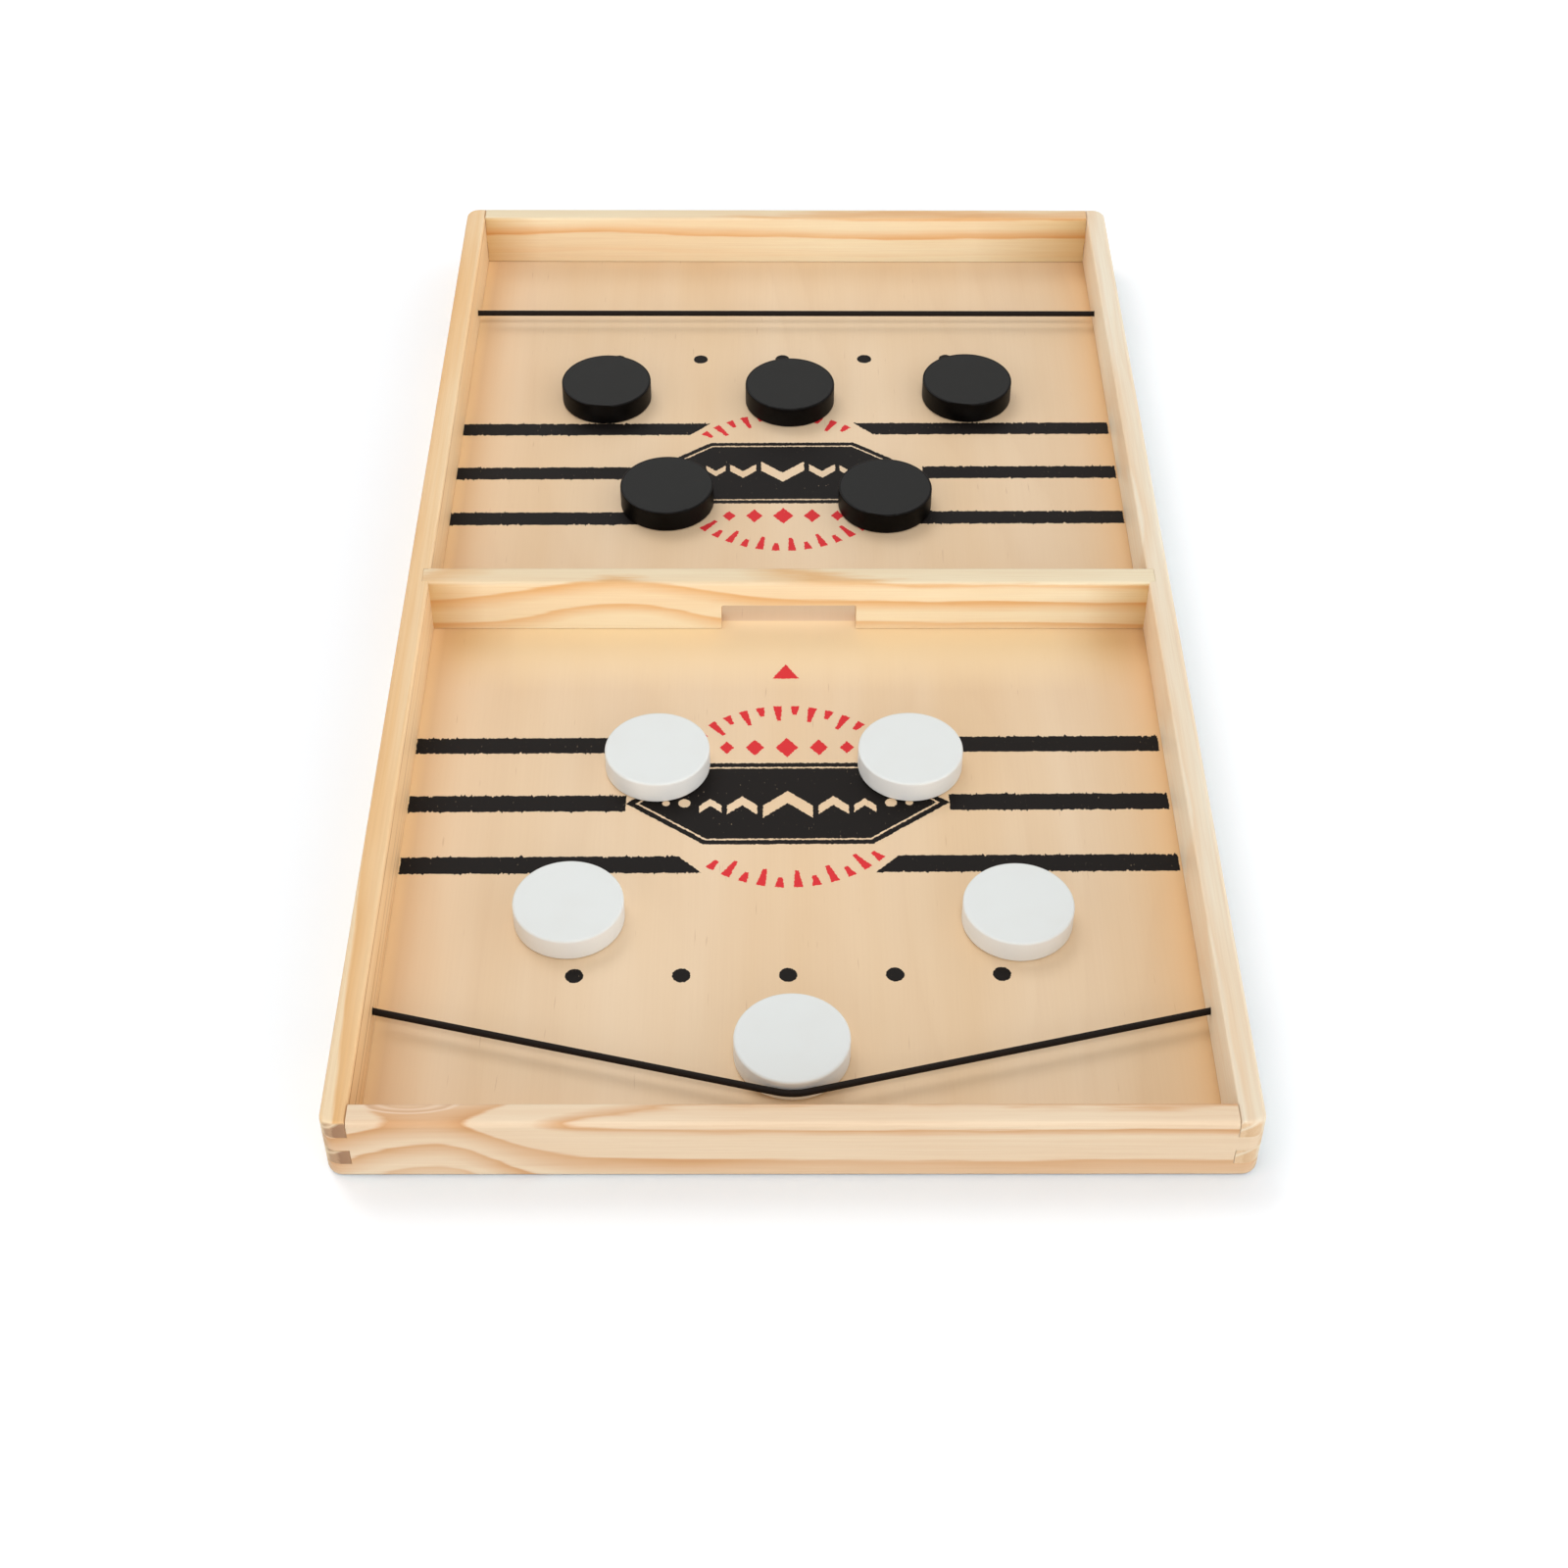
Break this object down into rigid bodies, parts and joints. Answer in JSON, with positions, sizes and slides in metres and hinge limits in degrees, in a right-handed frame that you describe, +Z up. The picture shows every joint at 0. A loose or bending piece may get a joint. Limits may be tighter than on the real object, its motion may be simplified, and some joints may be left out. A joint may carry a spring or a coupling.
{
  "type": "sling puck game",
  "caption": "Tabletop sling puck game: a finger-jointed pine tray with a gated divider, an elastic sling across each end, and black and white wooden pucks.",
  "frame": {"origin": "middle of the board's footprint, on the surface that it stands on, under the middle of the gate", "axes": "+X to the near player's right, +Y along the board towards the far player, +Z up"},
  "size_m": [0.31, 0.56, 0.028],
  "materials": {
    "pine_rails": "sanded pine with a clear satin coat",
    "pine_divider": "sanded pine with a clear satin coat",
    "plywood_floor": "smooth pale plywood, screen printed in black and red",
    "white_pucks": "satin white paint",
    "black_pucks": "satin black paint",
    "elastic_cord": "matt black covered elastic"
  },
  "bodies": {
    "frame": {"left_side_rail": "pine_rails", "right_side_rail": "pine_rails", "near_end_rail": "pine_rails", "far_end_rail": "pine_rails", "base_board": "plywood_floor", "centre_divider": "pine_divider", "near_left_knot": "elastic_cord", "near_right_knot": "elastic_cord", "far_left_knot": "elastic_cord", "far_right_knot": "elastic_cord"},
    "near_sling": {"near_sling": "elastic_cord"},
    "far_sling": {"far_sling": "elastic_cord"},
    "white_puck_1": {"white_puck_1": "white_pucks"},
    "white_puck_2": {"white_puck_2": "white_pucks"},
    "white_puck_3": {"white_puck_3": "white_pucks"},
    "white_puck_4": {"white_puck_4": "white_pucks"},
    "white_puck_5": {"white_puck_5": "white_pucks"},
    "black_puck_1": {"black_puck_1": "black_pucks"},
    "black_puck_2": {"black_puck_2": "black_pucks"},
    "black_puck_3": {"black_puck_3": "black_pucks"},
    "black_puck_4": {"black_puck_4": "black_pucks"},
    "black_puck_5": {"black_puck_5": "black_pucks"}
  },
  "joints": [
    {"name": "near_sling_draw", "type": "slide", "parent": "frame", "child": "near_sling", "axis": [0, 1, 0], "range_m": [-0.0165, 0.0361], "deforming": ["near_sling"]},
    {"name": "white_puck_5_shot", "type": "slide", "parent": "near_sling", "child": "white_puck_5", "axis": [0, 1, 0], "range_m": [0, 0.305]},
    {"name": "far_sling_draw", "type": "slide", "parent": "frame", "child": "far_sling", "axis": [0, 1, 0], "range_m": [0, 0.0525], "stiffness_N_per_m": 100, "deforming": ["far_sling"]},
    {"name": "white_puck_1_slide", "type": "slide", "parent": "frame", "child": "white_puck_1", "axis": [0, 1, 0], "range_m": [-0.0515, 0.0595]},
    {"name": "white_puck_2_slide", "type": "slide", "parent": "frame", "child": "white_puck_2", "axis": [0, 1, 0], "range_m": [-0.052, 0.059]},
    {"name": "white_puck_3_slide", "type": "slide", "parent": "frame", "child": "white_puck_3", "axis": [0, 1, 0], "range_m": [-0.027, 0.0515]},
    {"name": "white_puck_4_slide", "type": "slide", "parent": "frame", "child": "white_puck_4", "axis": [0, 1, 0], "range_m": [-0.026, 0.0525]},
    {"name": "black_puck_1_slide", "type": "slide", "parent": "frame", "child": "black_puck_1", "axis": [0, 1, 0], "range_m": [-0.0485, 0.035]},
    {"name": "black_puck_2_slide", "type": "slide", "parent": "frame", "child": "black_puck_2", "axis": [0, 1, 0], "range_m": [-0.3, 0.036]},
    {"name": "black_puck_3_slide", "type": "slide", "parent": "frame", "child": "black_puck_3", "axis": [0, 1, 0], "range_m": [-0.0485, 0.034]},
    {"name": "black_puck_4_slide", "type": "slide", "parent": "frame", "child": "black_puck_4", "axis": [0, 1, 0], "range_m": [-0.0525, 0.0485]},
    {"name": "black_puck_5_slide", "type": "slide", "parent": "frame", "child": "black_puck_5", "axis": [0, 1, 0], "range_m": [-0.051, 0.0485]}
  ]
}
